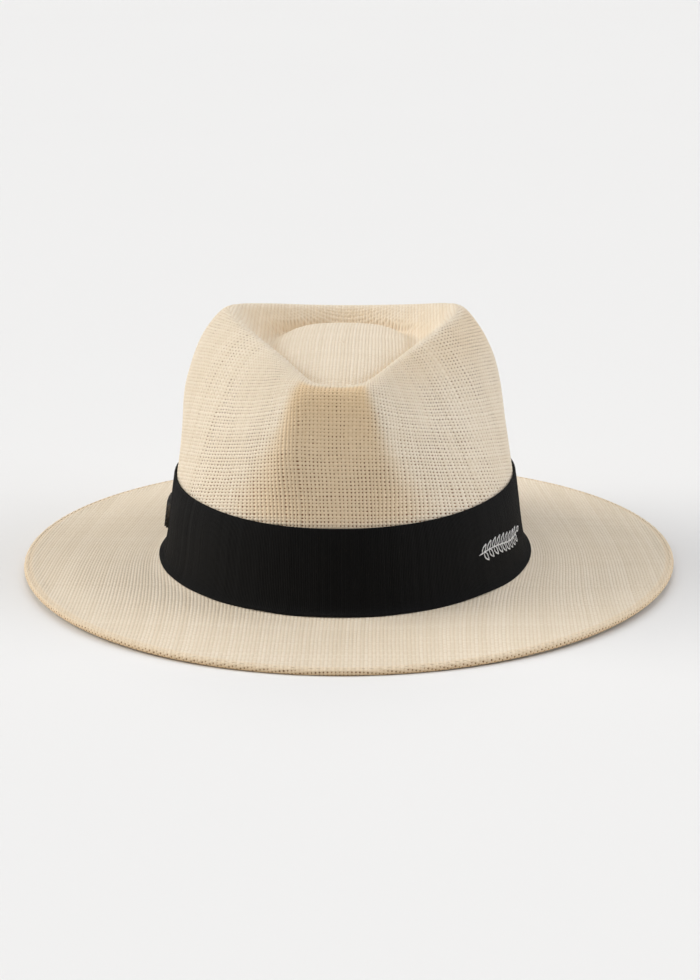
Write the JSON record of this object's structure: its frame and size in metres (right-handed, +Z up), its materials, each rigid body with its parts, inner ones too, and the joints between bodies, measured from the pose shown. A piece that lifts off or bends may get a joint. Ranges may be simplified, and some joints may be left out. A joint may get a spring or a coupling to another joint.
{
  "type": "straw sun hat",
  "caption": "Blocked woven straw sun hat: teardrop crown with a pinched front, flat wide brim, and a wide black elastic band that lifts off the crown.",
  "frame": {"origin": "on the plane the brim stands on, under the centre of the hat", "axes": "+Z up, the front of the hat faces -Y, +X to the wearer's left"},
  "size_m": [0.332, 0.352, 0.1289],
  "materials": {
    "straw_body": "matte woven paper straw",
    "brim_wire": "drawn wire",
    "brim_wire_joiner": "crimped sleeve",
    "hem_stitching": "thread",
    "sweatband": "matte ribbed tape",
    "sweatband_stitching": "thread",
    "sweatband_join_stitching": "thread",
    "size_label": "satin weave",
    "hat_band": "matte grosgrain",
    "band_join_tab": "matte grosgrain",
    "band_join_stitching": "thread",
    "badge_plate": "dark gunmetal",
    "badge_backing_plate": "plain"
  },
  "bodies": {
    "hat": {"straw_body": "straw_body", "brim_wire": "brim_wire", "brim_wire_joiner": "brim_wire_joiner", "hem_stitching": "hem_stitching", "sweatband": "sweatband", "sweatband_stitching": "sweatband_stitching", "sweatband_join_stitching": "sweatband_join_stitching", "size_label": "size_label"},
    "band": {"hat_band": "hat_band", "band_join_tab": "band_join_tab", "band_join_stitching": "band_join_stitching", "badge_plate": "badge_plate", "badge_backing_plate": "badge_backing_plate"}
  },
  "joints": [
    {"name": "hat_band_lift", "type": "slide", "parent": "hat", "child": "band", "axis": [0, 0, 1], "range_m": [0, 0.125]}
  ]
}
